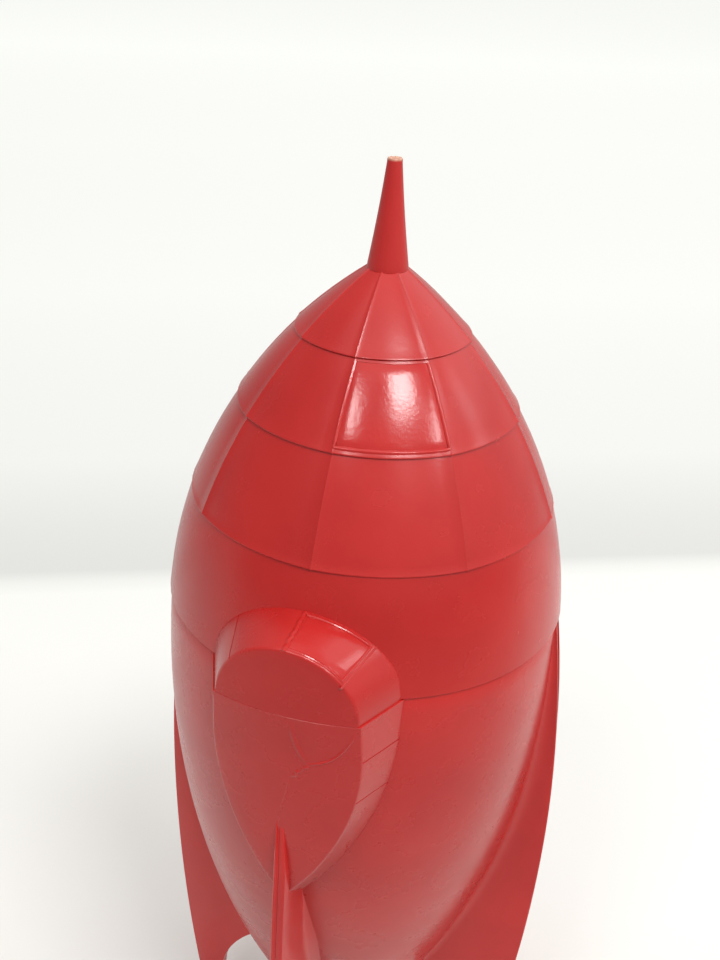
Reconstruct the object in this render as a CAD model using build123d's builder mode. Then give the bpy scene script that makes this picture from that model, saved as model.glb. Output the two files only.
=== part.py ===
from build123d import *
import os
from math import cos, radians, sin, sqrt

# A hollow moulded toy rocket that stands on four fins. Millimetres, +Z up.
# The origin is on the rocket's axis, level with the feet. The pod faces -Y.
# Heights named "rise" are measured up from the seam where the nose sits on the hull,
# and heights named "drop" are measured down from it.

# Overall
seam_height = 124.0        # the seam above the feet
seam_radius = 34.0         # outside of the nose at the seam
seam_overhang = 0.3        # how far the nose stands proud of the hull at the seam

# Nose: an ogive of one arc, planked in gores and lapped in courses
nose_arc = 79.6            # radius of the ogive's arc
nose_arc_below = 6.5       # the arc's widest level, below the seam
nose_wall = 2.4
nose_top_rise = 57.0       # flat on which the spire stands
boss_depth = 7.0           # solid plastic under the spire
lap_rises = (19.2, 34.85, 46.7)   # lower edges of the three lapped courses
lap_proud = 0.35           # step at each lap
gore_count = 8
gore_flattening = 2.5      # shift of each gore's own axis, which flattens it a little

# Spire
spire_length = 16.2
spire_base_radius = 3.2
spire_tip_radius = 1.1
spigot_radius = 2.2
spigot_past_boss = 2.6
washer_radius = 4.6
washer_thickness = 1.0

# Windows: panes let into shallow pockets
pane_thickness = 1.0
pane_recess = 0.45         # how deep a pane lies under the skin
pane_gap = 0.15            # clearance round a pane
window_side_margin = 0.3   # frame between the nose window and its gore's edges
window_head_margin = 0.75  # frame under the lap above it
window_sill_margin = 0.15  # frame above the lap below it

# Hull: one arc from the seam to the tail
hull_widest_drop = 12.0
hull_wall = 2.8
hull_floor = 6.0           # solid plastic above the tail
tail_drop = 96.0           # where the hull's skin ends
tail_shoulder = 1.85       # step from that skin in to the neck
neck_length = 5.0
neck_radius = 10.2
neck_bore_radius = 8.0

# Collar that joins nose and hull
socket_depth = 8.0
socket_wall = 1.9
spigot_height = 10.0
collar_bore_radius = 27.8
slide_gap = 0.2            # clearance between the nose and the collar
glue_gap = 0.05            # glue line of every bonded seat
spigot_lead = 0.8
key_width = 3.4
key_gap = 0.3

# Pod: a bevelled bay, its upper half on the nose and its lower half on the hull. Its outlines
# are given at two upright planes, one near its rim on the skin and one near the edge of its face.
face_proud = 6.7           # how far the upper face stands outside the seam's radius
face_lean = 3.3            # how much nearer the axis the lower face's tip is
rim_inset = 2.7            # the plane near the rim lies inside the seam's radius
edge_proud = 4.0           # and the plane near the face's edge outside it
hood_rim_half_width = 14.8
hood_rim_crown = 13.0
hood_edge_half_width = 11.75
hood_edge_crown = 12.0
fairing_rim_half_width = 15.1
fairing_rim_shoulder = 7.5   # the sides are upright as far as this under the seam
fairing_rim_keel = 43.3
fairing_rim_belly = 3.35     # sagitta of each side below the shoulder
fairing_edge_half_width = 12.05
fairing_edge_shoulder = 7.0
fairing_edge_keel = 38.8
fairing_edge_belly = 2.85
panel_drops = (7.2, 15.7)    # joint lines across the fairing's bevels
panel_groove = 0.3           # width and depth of a joint line
pod_wall = 2.2
peg_radius = 1.4
peg_post_radius = 2.4
peg_depth = 1.3            # how far a peg enters the skin
peg_spread = 6.2           # each peg's distance from the middle
hood_peg_rise = 5.4
fairing_peg_drop = 12.0
panel_angle = 51.0         # joint lines of the hood, on each side of its middle
pane_edge_margin = 0.9     # frame round the hood's pane

# Fins
fin_turns = {"fin_right": 0, "fin_rear": 90, "fin_left": 180, "fin_front": -90}
fin_top_proud = 0.25       # a fin's edge outside the hull at the seam
fin_bulge = 3.9            # and outside the seam's radius where it is widest
fin_bulge_drop = 46.0
front_fin_shift = 1.6      # how much further out the front fin stands
foot_reach = 29.6          # outside of a foot from the axis
foot_width = 3.8
fin_edge_thickness = 2.2
fin_root_thickness = 3.8
fin_flare = 3.6            # radius of the blend between a fin and the hull
flare_stations = 6         # sections of that blend down the hull
flare_full_station = 2     # where it reaches that radius
flare_first_share = 0.1    # share of the radius that it starts with
arch_radius = 20.2         # arch between a fin's leg and the tail
arch_offset = 6.9          # its centre's distance from the axis
arch_below_tail = 13.6
tongue_drops = (32.0, 70.0)
tongue_height = 12.0
tongue_thickness = 1.8
tongue_past_wall = 1.4
tongue_gap = 0.1
front_fin_top_drop = 14.0  # the front fin starts inside the fairing

# Tail
nozzle_length = 11.0
nozzle_flare = 2.6         # how much wider its mouth is than the tail
nozzle_waist = 0.3
nozzle_wall = 1.6
plug_gap = 0.1
plug_flange_margin = 0.9   # space between the plug's flange and the nozzle
plug_flange_thickness = 1.8
plug_depth = 9.0
plug_tab = (7.0, 1.6, 3.2)

past = 1.0                 # how far a cutting shape runs past the skin it cuts

nose_arc_centre = seam_radius - sqrt(nose_arc**2 - nose_arc_below**2)
hull_top_radius = seam_radius - seam_overhang
tail_radius = neck_radius + tail_shoulder
hull_taper = hull_top_radius - tail_radius
hull_run = (tail_drop**2 - 2 * tail_drop * hull_widest_drop + hull_taper**2) / (2 * hull_taper)
hull_arc = sqrt(hull_run**2 + hull_widest_drop**2)
hull_arc_centre = hull_top_radius - hull_run
hull_floor_drop = tail_drop - hull_floor
socket_radius = hull_top_radius - socket_wall
pocket_depth = pane_recess + pane_thickness
face_radius = seam_radius + face_proud
face_keel_radius = face_radius - face_lean
rim_level = seam_radius - rim_inset
edge_level = seam_radius + edge_proud
fin_reach = seam_radius + fin_bulge
arch_drop = tail_drop + arch_below_tail
half_gore = 180 / gore_count
window_turn = half_gore - 90     # the gore just right of the pod's middle
all_round = 2 * face_radius      # safely larger than the rocket
pod_root = rim_level - 2 * hull_wall   # the pod's lofts start inside the skin
slot_length = 3 * hull_wall            # longer than the wall is thick
peg_length = 3 * peg_depth             # a peg starts inside its post
pod_front = face_radius + past         # and end in front of the face
peg_align = (Align.CENTER, Align.CENTER, Align.MIN)
hang_align = (Align.CENTER, Align.CENTER, Align.MAX)


def arc_through(rise, run):
    """Radius of an arc that is level at one end and has gone in by `rise` over `run`."""
    return (run**2 + rise**2) / (2 * rise)


fin_upper_arc = arc_through(fin_reach - hull_top_radius - fin_top_proud, fin_bulge_drop)
fin_lower_arc = arc_through(fin_reach - foot_reach, seam_height - fin_bulge_drop)


def nose_radius(rise, depth=0.0):
    """Radius of the nose at a height above the seam, on a skin `depth` under the outside."""
    return nose_arc_centre + sqrt((nose_arc - depth)**2 - (rise + nose_arc_below)**2)


def hull_radius(drop, depth=0.0):
    """Radius of the hull at a height below the seam, on a skin `depth` under the outside."""
    return hull_arc_centre + sqrt((hull_arc - depth)**2 - (drop - hull_widest_drop)**2)


def nose_point(rise, depth=0.0):
    return (nose_radius(rise, depth), seam_height + rise)


def hull_point(drop, depth=0.0):
    return (hull_radius(drop, depth), seam_height - drop)


def nose_body(low, high, depth=0.0):
    """Solid of revolution inside the nose's ogive between two heights above the seam."""
    with BuildPart() as body:
        with BuildSketch(Plane.XZ):
            with BuildLine():
                arc = ThreePointArc(nose_point(low, depth), nose_point((low + high) / 2, depth),
                                    nose_point(high, depth))
                Polyline(arc @ 1, (0, seam_height + high), (0, seam_height + low), arc @ 0)
            make_face()
        revolve(axis=Axis.Z)
    return body.part


def hull_body(high, low, depth=0.0):
    """Solid of revolution inside the hull's arc between two heights below the seam."""
    with BuildPart() as body:
        with BuildSketch(Plane.XZ):
            with BuildLine():
                arc = ThreePointArc(hull_point(low, depth), hull_point((low + high) / 2, depth),
                                    hull_point(high, depth))
                Polyline(arc @ 1, (0, seam_height - high), (0, seam_height - low), arc @ 0)
            make_face()
        revolve(axis=Axis.Z)
    return body.part


def gore_radius(rise, proud):
    """Radius at the middle of a gore whose edges are on the ogive, `proud` outside it."""
    edge = nose_radius(rise) + proud
    shifted = edge**2 + 2 * edge * gore_flattening * cos(radians(half_gore)) + gore_flattening**2
    return sqrt(shifted) - gore_flattening


def gore_wedge(margin=0.0):
    """One gore's share of the full circle, about +X, with its sides moved in by `margin`."""
    apex = margin / sin(radians(half_gore))
    far = all_round * cos(radians(half_gore))
    side = all_round * sin(radians(half_gore))
    with BuildPart() as wedge:
        with BuildSketch(Plane.XY.offset(seam_height)):
            Polygon((apex, 0), (apex + far, -side), (apex + far, side), align=None)
        extrude(amount=nose_top_rise)
    return wedge.part


def gore():
    """One planked strip of the nose, from the first lap to the top, about +X."""
    bands = list(zip(lap_rises, lap_rises[1:] + (nose_top_rise,)))
    with BuildPart() as strip:
        for low, high in bands:
            middle = (low + high) / 2
            foot = (gore_radius(low, lap_proud), seam_height + low)
            waist = (gore_radius(middle, lap_proud / 2), seam_height + middle)
            head = (gore_radius(high, 0), seam_height + high)
            with BuildSketch(Plane.XZ):
                with BuildLine():
                    arc = ThreePointArc(foot, waist, head)
                    Polyline(arc @ 1, (-gore_flattening, head[1]), (-gore_flattening, foot[1]), arc @ 0)
                make_face()
            revolve(axis=Axis((-gore_flattening, 0, 0), (0, 0, 1)))
        add(gore_wedge(), mode=Mode.INTERSECT)
    return strip.part


def window_block(outer_depth, inner_depth, shrink):
    """The space of the nose window between two depths under the skin, about +X."""
    sill = lap_rises[1] + window_sill_margin + shrink
    head = lap_rises[2] - window_head_margin - shrink
    with BuildPart() as block:
        add(nose_body(sill, head, outer_depth))
        add(nose_body(sill, head, inner_depth), mode=Mode.SUBTRACT)
        add(gore_wedge(window_side_margin + shrink), mode=Mode.INTERSECT)
    return block.part


def pod_size(level, at_rim, at_edge):
    """A measure of the pod's outline at a distance from the axis, by the pod's straight draft."""
    return at_rim + (at_edge - at_rim) * (level - rim_level) / (edge_level - rim_level)


def hood_loft(inner, outer, inset=0.0, floor=0.0):
    """Upper half of the pod: a half oval that narrows from the skin to the face."""
    with BuildPart() as block:
        for level in (inner, outer):
            half_width = pod_size(level, hood_rim_half_width, hood_edge_half_width) - inset
            crown = pod_size(level, hood_rim_crown, hood_edge_crown) - inset
            with BuildSketch(Plane.XZ.offset(level)):
                with Locations((0, seam_height)):
                    Ellipse(half_width, crown)
                with Locations((0, seam_height + floor)):
                    Rectangle(all_round, all_round, align=(Align.CENTER, Align.MAX), mode=Mode.SUBTRACT)
        loft(ruled=True)
    return block.part


def fairing_loft(inner, outer, inset=0.0, roof=0.0):
    """Lower half of the pod: a shield that narrows to a keel."""
    with BuildPart() as block:
        for level in (inner, outer):
            half_width = pod_size(level, fairing_rim_half_width, fairing_edge_half_width) - inset
            shoulder = pod_size(level, fairing_rim_shoulder, fairing_edge_shoulder)
            keel = pod_size(level, fairing_rim_keel, fairing_edge_keel) - 2 * inset
            belly = pod_size(level, fairing_rim_belly, fairing_edge_belly)
            top = seam_height - roof
            turn = (half_width, seam_height - shoulder)
            tip = (0, seam_height - keel)
            with BuildSketch(Plane.XZ.offset(level)):
                with BuildLine():
                    Line((half_width, top), turn)
                    SagittaArc(turn, tip, belly)
                    SagittaArc(tip, (-half_width, turn[1]), belly)
                    Line((-half_width, turn[1]), (-half_width, top))
                    Line((-half_width, top), (half_width, top))
                make_face()
        loft(ruled=True)
    return block.part


def panel_joint(loft_of, drop, turn):
    """A joint line across the bevels of one half of the pod, along a ray seen from the front."""
    with BuildPart() as joint:
        with BuildSketch(Plane.XZ):
            with Locations(Location((0, seam_height - drop), turn)):
                Rectangle(panel_groove, all_round, align=(Align.CENTER, Align.MIN))
        extrude(amount=all_round)
        add(loft_of(pod_root, pod_front, -past), mode=Mode.INTERSECT)
        add(loft_of(pod_root, pod_front, panel_groove), mode=Mode.SUBTRACT)
    return joint.part


def lower_face(depth=0.0):
    """Solid inside the fairing's face, which leans in towards the keel."""
    tip_drop = 2 * fairing_edge_keel
    tip_radius = 2 * face_keel_radius - face_radius
    with BuildPart() as body:
        with BuildSketch(Plane.XZ):
            Polygon((0, seam_height), (face_radius - depth, seam_height),
                    (tip_radius - depth, seam_height - tip_drop), (0, seam_height - tip_drop), align=None)
        revolve(axis=Axis.Z)
    return body.part


def fin_wedge(height, extra):
    """The fin's thickness, which tapers from root to edge, about +X, up to a height."""
    half_root = fin_root_thickness / 2 + extra
    half_edge = fin_edge_thickness / 2 + extra
    far = fin_reach + past
    with BuildPart() as wedge:
        with BuildSketch(Plane.XY):
            Polygon((arch_offset, -half_root), (far, -half_edge), (far, half_edge), (arch_offset, half_root),
                    align=None)
        extrude(amount=height)
    return wedge.part


def fin_edge_radius(drop):
    """Outer edge of a fin: two arcs that meet at its furthest point."""
    arc = fin_upper_arc if drop < fin_bulge_drop else fin_lower_arc
    return fin_reach - arc + sqrt(arc**2 - (drop - fin_bulge_drop)**2)


def flare_loft(start, extra):
    """The hollow-sided blend that thickens a fin about +X where it meets the hull."""
    with BuildPart() as blend:
        for station in range(flare_stations + 1):
            drop = start + (tail_drop - start) * station / flare_stations
            skin = hull_radius(drop)
            size = fin_flare * min(1, station / flare_full_station + flare_first_share)
            half_blade = fin_edge_thickness / 2 + extra
            near = skin - past
            with BuildSketch(Plane.XY.offset(seam_height - drop)):
                with BuildLine():
                    Line((near, -half_blade - size), (skin, -half_blade - size))
                    RadiusArc((skin, -half_blade - size), (skin + size, -half_blade), size)
                    Line((skin + size, -half_blade), (skin + size, half_blade))
                    RadiusArc((skin + size, half_blade), (skin, half_blade + size), size)
                    Line((skin, half_blade + size), (near, half_blade + size))
                    Line((near, half_blade + size), (near, -half_blade - size))
                make_face()
        loft()
    return blend.part


def fin_blank(top=0.0, shift=0.0, flare_start=0.0, extra=0.0):
    """A fin about +X, from a drop under the seam to its foot, with tongues that enter the hull."""
    def edge(drop):
        return (fin_edge_radius(drop) + shift, seam_height - drop)

    foot_outside = edge(seam_height)
    foot_inside = (foot_outside[0] - foot_width, 0)
    arch_middle = seam_height - arch_drop
    arch_end = (arch_offset + arch_radius, arch_middle)
    arch_top = (arch_offset, arch_middle + arch_radius)
    arch_shoulder = (arch_offset + arch_radius * cos(radians(45)),
                     arch_middle + arch_radius * sin(radians(45)))
    with BuildPart() as blank:
        with BuildSketch(Plane.XZ):
            with BuildLine():
                ThreePointArc(edge(0), edge(fin_bulge_drop / 2), edge(fin_bulge_drop))
                ThreePointArc(edge(fin_bulge_drop), edge((fin_bulge_drop + seam_height) / 2), foot_outside)
                Polyline(foot_outside, foot_inside, arch_end)
                ThreePointArc(arch_end, arch_shoulder, arch_top)
                Polyline(arch_top, (arch_top[0], seam_height), edge(0))
            make_face()
        extrude(amount=fin_root_thickness + fin_flare, both=True)
        add(fin_wedge(seam_height - top, extra) + flare_loft(flare_start, extra), mode=Mode.INTERSECT)
        add(hull_body(0, tail_drop), mode=Mode.SUBTRACT)
        for drop in tongue_drops:
            reach = hull_radius(drop + tongue_height / 2) + past
            back = hull_radius(drop) - hull_wall - tongue_past_wall
            with BuildSketch(Plane.XY.offset(seam_height - drop - tongue_height / 2)):
                with Locations(((reach + back) / 2, 0)):
                    Rectangle(reach - back, tongue_thickness)
            extrude(amount=tongue_height)
    return blank.part


def face_drum(radius):
    """Solid inside the hood's upright face."""
    with BuildPart() as drum:
        with BuildSketch(Plane.XY.offset(seam_height)):
            Circle(radius)
        extrude(amount=hood_rim_crown + pod_wall)
    return drum.part


def pane_wedge(margin):
    """The hood's panel beside the middle, seen from the front, with its sides moved in."""
    half_angle = radians(panel_angle / 2)
    apex = margin / sin(half_angle)
    with BuildPart() as wedge:
        with BuildSketch(Plane.XZ):
            with Locations(Location((0, seam_height), -panel_angle / 2)):
                Polygon((0, apex), (-all_round * sin(half_angle), apex + all_round * cos(half_angle)),
                        (all_round * sin(half_angle), apex + all_round * cos(half_angle)), align=None)
        extrude(amount=all_round)
    return wedge.part


def hood_pane_block(outer_inset, inner_inset, shrink):
    """The space of the hood's pane between two depths under its bevel."""
    with BuildPart() as block:
        add(hood_loft(pod_root, pod_front, outer_inset))
        add(hood_loft(pod_root, pod_front, inner_inset), mode=Mode.SUBTRACT)
        add(pane_wedge(pane_edge_margin + shrink), mode=Mode.INTERSECT)
        add(face_drum(face_radius - pane_edge_margin - shrink), mode=Mode.INTERSECT)
        add(nose_body(0, nose_top_rise, -pane_edge_margin - shrink), mode=Mode.SUBTRACT)
    return block.part


def peg_plane(side, height, skin_radius):
    """Plane at the bottom of a peg's hole in the skin, facing out through the pod."""
    back = sqrt(skin_radius**2 - peg_spread**2) - peg_depth
    return Plane((side * peg_spread, -back, height), z_dir=(0, -1, 0))


def save(part, name):
    part.label = name
    export_step(part, f"parts/{name}.step")


os.makedirs("parts", exist_ok=True)

# Nose shell: a plain skirt, then eight gores in three lapped courses, hollowed from below.
# The boss under the spire is solid. A key inside the mouth lines the pod's halves up.
with BuildPart() as nose_shell:
    add(nose_body(0, lap_rises[0]))
    with PolarLocations(0, gore_count, start_angle=half_gore):
        add(gore())
    add(nose_body(0, nose_top_rise - boss_depth, nose_wall), mode=Mode.SUBTRACT)
    with Locations((0, 0, seam_height + nose_top_rise)):
        Cylinder(spigot_radius + glue_gap, 2 * (boss_depth + past), mode=Mode.SUBTRACT)
    add(window_block(-past, pocket_depth, 0), rotation=(0, 0, window_turn), mode=Mode.SUBTRACT)
    with BuildSketch(Plane.XY.offset(seam_height + slide_gap)):
        with Locations((0, -collar_bore_radius)):
            Rectangle(key_width, nose_radius(0, nose_wall / 2) - collar_bore_radius,
                      align=(Align.CENTER, Align.MAX))
    extrude(amount=spigot_height)
    for side in (-1, 1):
        with Locations(peg_plane(side, seam_height + hood_peg_rise, nose_radius(hood_peg_rise))):
            Cylinder(peg_radius + glue_gap, all_round, align=peg_align, mode=Mode.SUBTRACT)
save(nose_shell.part, "nose_shell")

# Nose window: a curved pane that lies in the pocket of one gore, just under the skin.
with BuildPart() as nose_window:
    add(window_block(pane_recess, pocket_depth, pane_gap), rotation=(0, 0, window_turn))
save(nose_window.part, "nose_window")

# Spire: a solid cone with a shoulder on the nose and a spigot through its boss.
spigot_length = boss_depth + spigot_past_boss
with BuildPart() as spire:
    with BuildSketch(Plane.XZ):
        with BuildLine():
            base = seam_height + nose_top_rise
            Polyline((0, base - spigot_length), (spigot_radius, base - spigot_length),
                     (spigot_radius, base), (spire_base_radius, base),
                     (spire_tip_radius, base + spire_length), (0, base + spire_length),
                     (0, base - spigot_length))
        make_face()
    revolve(axis=Axis.Z)
save(spire.part, "spire")

# Push-on washer that holds the spire's spigot under the boss.
with BuildPart() as spire_washer:
    with BuildSketch(Plane.XY.offset(seam_height + nose_top_rise - boss_depth)):
        Circle(washer_radius)
        Circle(spigot_radius, mode=Mode.SUBTRACT)
    extrude(amount=-washer_thickness)
save(spire_washer.part, "spire_washer")

# Pod hood: the bay's upper half, hollow behind, with a pocket for a pane in its right bevel.
# Two posts end in pegs that enter the nose.
with BuildPart() as pod_hood:
    add(hood_loft(pod_root, pod_front))
    add(face_drum(face_radius), mode=Mode.INTERSECT)
    add(hood_loft(pod_root, pod_front, pod_wall, pod_wall) & face_drum(face_radius - pod_wall),
        mode=Mode.SUBTRACT)
    for side in (-1, 1):
        with Locations(peg_plane(side, seam_height + hood_peg_rise, nose_radius(hood_peg_rise))):
            Cylinder(peg_post_radius, all_round, align=peg_align)
    add(hood_pane_block(-past, pocket_depth, 0), mode=Mode.SUBTRACT)
    add(panel_joint(hood_loft, 0, panel_angle), mode=Mode.SUBTRACT)
    add(face_drum(face_radius), mode=Mode.INTERSECT)
    add(nose_body(0, nose_top_rise, -glue_gap), mode=Mode.SUBTRACT)
    for side in (-1, 1):
        with Locations(peg_plane(side, seam_height + hood_peg_rise, nose_radius(hood_peg_rise))):
            Cylinder(peg_radius, peg_length, align=peg_align)
save(pod_hood.part, "pod_hood")

# Hood window: a pane in that pocket.
with BuildPart() as hood_window:
    add(hood_pane_block(pane_recess, pocket_depth, pane_gap))
save(hood_window.part, "hood_window")

# Hull shell: the lower moulding. Its mouth is a socket for the collar, its tail ends in a
# short neck with a bore, and pairs of slots take the tongues of the fins.
with BuildPart() as hull_shell:
    add(hull_body(0, tail_drop))
    with Locations((0, 0, seam_height - tail_drop)):
        Cylinder(neck_radius, neck_length, align=hang_align)
    add(hull_body(socket_depth, hull_floor_drop, hull_wall), mode=Mode.SUBTRACT)
    with Locations((0, 0, seam_height)):
        Cylinder(socket_radius, socket_depth, align=hang_align, mode=Mode.SUBTRACT)
    with Locations((0, 0, seam_height - tail_drop - neck_length)):
        Cylinder(neck_bore_radius, tail_drop, align=peg_align, mode=Mode.SUBTRACT)
    for turn in fin_turns.values():
        for drop in tongue_drops:
            slot_radius = hull_radius(drop) - hull_wall / 2
            slot = Plane.XY.offset(seam_height - drop).rotated((0, 0, turn)) * Pos(slot_radius, 0, 0)
            with Locations(slot):
                Box(slot_length, tongue_thickness + 2 * tongue_gap, tongue_height + 2 * tongue_gap,
                    mode=Mode.SUBTRACT)
    for side in (-1, 1):
        with Locations(peg_plane(side, seam_height - fairing_peg_drop, hull_radius(fairing_peg_drop))):
            Cylinder(peg_radius + glue_gap, all_round, align=peg_align, mode=Mode.SUBTRACT)
save(hull_shell.part, "hull_shell")

# Hull collar: a ring bonded into the hull's mouth. Its tapered spigot carries the nose,
# and a notch in it takes the nose's key.
with BuildPart() as hull_collar:
    with BuildSketch(Plane.XZ):
        with BuildLine():
            bond_radius = socket_radius - glue_gap
            skin = nose_wall + slide_gap
            lead = spigot_height - spigot_lead
            arc = ThreePointArc(nose_point(0, skin), nose_point(lead / 2, skin), nose_point(lead, skin))
            Polyline(arc @ 1, (nose_radius(lead, skin) - spigot_lead / 2, seam_height + spigot_height),
                     (collar_bore_radius, seam_height + spigot_height),
                     (collar_bore_radius, seam_height - socket_depth),
                     (bond_radius, seam_height - socket_depth), (bond_radius, seam_height), arc @ 0)
        make_face()
    revolve(axis=Axis.Z)
    with Locations((0, -seam_radius, seam_height)):
        Box(key_width + 2 * key_gap, 2 * (seam_radius - collar_bore_radius + past), 2 * spigot_height,
            align=(Align.CENTER, Align.CENTER, Align.MIN), mode=Mode.SUBTRACT)
save(hull_collar.part, "hull_collar")

# Fins: four blades. Each is bonded along its root and by two tongues through the hull's wall.
# The front one starts inside the fairing and comes out through a slit in its face.
front_fin = (front_fin_top_drop, front_fin_shift, fairing_rim_keel)
for name, turn in fin_turns.items():
    is_front = name == "fin_front"
    with BuildPart() as fin:
        add(fin_blank(*front_fin) if is_front else fin_blank(), rotation=(0, 0, turn))
    save(fin.part, name)

# Pod fairing: the bay's lower half, hollow behind, pegged to the hull and slit for the fin.
with BuildPart() as pod_fairing:
    add(fairing_loft(pod_root, pod_front))
    add(lower_face(), mode=Mode.INTERSECT)
    add(fairing_loft(pod_root, pod_front, pod_wall, pod_wall) & lower_face(pod_wall),
        mode=Mode.SUBTRACT)
    for side in (-1, 1):
        with Locations(peg_plane(side, seam_height - fairing_peg_drop, hull_radius(fairing_peg_drop))):
            Cylinder(peg_post_radius, all_round, align=peg_align)
    for drop in panel_drops:
        for turn in (-90, 90):
            add(panel_joint(fairing_loft, drop, turn), mode=Mode.SUBTRACT)
    add(lower_face(), mode=Mode.INTERSECT)
    add(hull_body(0, tail_drop, -glue_gap), mode=Mode.SUBTRACT)
    for side in (-1, 1):
        with Locations(peg_plane(side, seam_height - fairing_peg_drop, hull_radius(fairing_peg_drop))):
            Cylinder(peg_radius, peg_length, align=peg_align)
    add(fin_blank(*front_fin, glue_gap), rotation=(0, 0, fin_turns["fin_front"]),
        mode=Mode.SUBTRACT)
save(pod_fairing.part, "pod_fairing")

# Tail nozzle: a small bell bonded over the hull's neck.
with BuildPart() as tail_nozzle:
    with BuildSketch(Plane.XZ):
        with BuildLine():
            top = seam_height - tail_drop
            throat = top - neck_length
            mouth = top - nozzle_length
            bore = neck_radius + glue_gap
            outside = ThreePointArc((tail_radius, top), (tail_radius + nozzle_waist, throat),
                                    (tail_radius + nozzle_flare, mouth))
            inside = Line((tail_radius + nozzle_flare - nozzle_wall, mouth), (bore, throat))
            Line(outside @ 1, inside @ 0)
            Polyline(inside @ 1, (bore, top), outside @ 0)
        make_face()
    revolve(axis=Axis.Z)
save(tail_nozzle.part, "tail_nozzle")

# Tail plug: a stopper in the neck's bore, with a flange and a tab to pull it by.
with BuildPart() as tail_plug:
    with Locations((0, 0, seam_height - tail_drop - neck_length)):
        Cylinder(neck_bore_radius - plug_gap, plug_depth, align=peg_align)
        Cylinder(neck_radius - plug_flange_margin, plug_flange_thickness, align=hang_align)
    with Locations((0, 0, seam_height - tail_drop - neck_length - plug_flange_thickness)):
        Box(*plug_tab, align=hang_align)
save(tail_plug.part, "tail_plug")
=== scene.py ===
import bmesh
import bpy
import random
from math import asin, atan2, cos, degrees, hypot, pi, radians, sin, sqrt
from mathutils import Matrix, Vector


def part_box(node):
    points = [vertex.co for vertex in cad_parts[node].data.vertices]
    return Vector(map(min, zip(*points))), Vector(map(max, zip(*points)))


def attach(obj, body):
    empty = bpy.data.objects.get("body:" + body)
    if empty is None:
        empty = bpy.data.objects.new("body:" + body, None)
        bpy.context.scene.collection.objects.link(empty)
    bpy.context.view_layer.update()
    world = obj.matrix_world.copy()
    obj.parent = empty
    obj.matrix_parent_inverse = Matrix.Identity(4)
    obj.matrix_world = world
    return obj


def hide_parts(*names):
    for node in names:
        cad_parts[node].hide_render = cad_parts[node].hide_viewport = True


# A hollow moulded toy rocket on four fins. The frame's origin is on its axis, level with its
# feet, and its pod faces -Y. The camera and the room are in metres. The rocket's own sizes
# are in millimetres, made metres by "mm".
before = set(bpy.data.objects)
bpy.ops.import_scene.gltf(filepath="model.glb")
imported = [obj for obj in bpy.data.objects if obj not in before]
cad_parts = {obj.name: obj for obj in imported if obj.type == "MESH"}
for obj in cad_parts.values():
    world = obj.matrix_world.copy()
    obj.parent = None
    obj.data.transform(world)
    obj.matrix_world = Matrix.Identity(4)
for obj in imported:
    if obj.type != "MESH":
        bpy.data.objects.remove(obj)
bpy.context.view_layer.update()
mm = 0.001

# Camera. It stands six seam radii off, a little to the right of the pod, and looks down on
# the nose. Its place is measured from the middle of the seam, in seam radii.
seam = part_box("nose_shell")[0].z
seam_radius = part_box("nose_shell")[1].x
camera_turn = radians(16.5)
camera_tilt = radians(27.07)
camera_roll = radians(3.59)
camera_place = Vector((-0.0646, -5.099, 3.182)) * seam_radius
camera_place.rotate(Matrix.Rotation(camera_turn, 3, "Z"))
bpy.ops.object.camera_add(location=camera_place + Vector((0, 0, seam)))
camera = bpy.context.active_object
camera.name = "camera"
camera.rotation_euler = (Matrix.Rotation(camera_turn, 3, "Z")
                         @ Matrix.Rotation(pi / 2 - camera_tilt, 3, "X")
                         @ Matrix.Rotation(camera_roll, 3, "Z")).to_euler()
camera.data.sensor_width = 36
camera.data.lens = 43.3875
camera.data.clip_start = 0.005
bpy.context.scene.camera = camera

# Room. A white table under soft daylight from windows above and to the right, in a pale room
# that is darker where the camera stands; the table's own colour is darkened toward the camera as
# painted shade of that side. Past the table's far edge the same sheet goes on as the pale wall
# behind it, a little darker near the edge, which glows a little to the camera alone as painted light.
bpy.context.scene.view_settings.view_transform = "Standard"
table_size = 8
table_turn = camera_turn + radians(10)
table_near, table_far = -0.30, 1.70  # where the table's shades begin and end
# Painted shade: the table's colour darkens toward the camera over the first stops, is white under the rocket,
# and past the far edge steps to the wall's grey, which is lighter further up.
table_tones_and_painted_shade = ((0.00, (0.30, 0.30, 0.29)), (0.10, (0.45, 0.45, 0.43)), (0.145, (0.74, 0.73, 0.69)),
                (0.165, (0.80, 0.79, 0.76)), (0.248, (0.81, 0.81, 0.78)), (0.254, (0.64, 0.64, 0.62)),
                (1.0, (0.76, 0.77, 0.74)))
# Painted light: how strongly the wall glows to the camera alone, rising with distance.
wall_glow = ((0.254, 0), (0.27, 0.07), (0.30, 0.24), (0.42, 0.41), (0.65, 0.50), (1.0, 0.56))
room_shades = ((0.0, (0.36, 0.36, 0.36)), (0.35, (0.52, 0.52, 0.52)), (0.60, (0.70, 0.70, 0.69)),
               (1.0, (1.00, 1.00, 0.98)))
bright_side = Vector((0.85, 0.25, 0.45)).normalized()
lamp_aim = Vector((0, 0, 0.14))


def clear_selection():
    """Leaves edit mode with nothing selected."""
    if bpy.context.mode != "OBJECT":
        bpy.ops.object.mode_set(mode="OBJECT")
    bpy.ops.object.select_all(action="DESELECT")


def node(tree, kind, **values):
    """Adds a shader node, and sets its settings, or its sockets by name."""
    made = tree.nodes.new(kind)
    for key, value in values.items():
        if hasattr(made, key):
            setattr(made, key, value)
        else:
            made.inputs[key.replace("_", " ")].default_value = value
    return made


def ramp(tree, source, stops):
    """A colour ramp fed by a socket."""
    made = node(tree, "ShaderNodeValToRGB")
    elements = made.color_ramp.elements
    elements[0].position, elements[0].color = stops[0][0], (*stops[0][1], 1)
    elements[1].position, elements[1].color = stops[-1][0], (*stops[-1][1], 1)
    for place, colour in stops[1:-1]:
        elements.new(place).color = (*colour, 1)
    tree.links.new(source, made.inputs["Fac"])
    return made.outputs["Color"]


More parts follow.
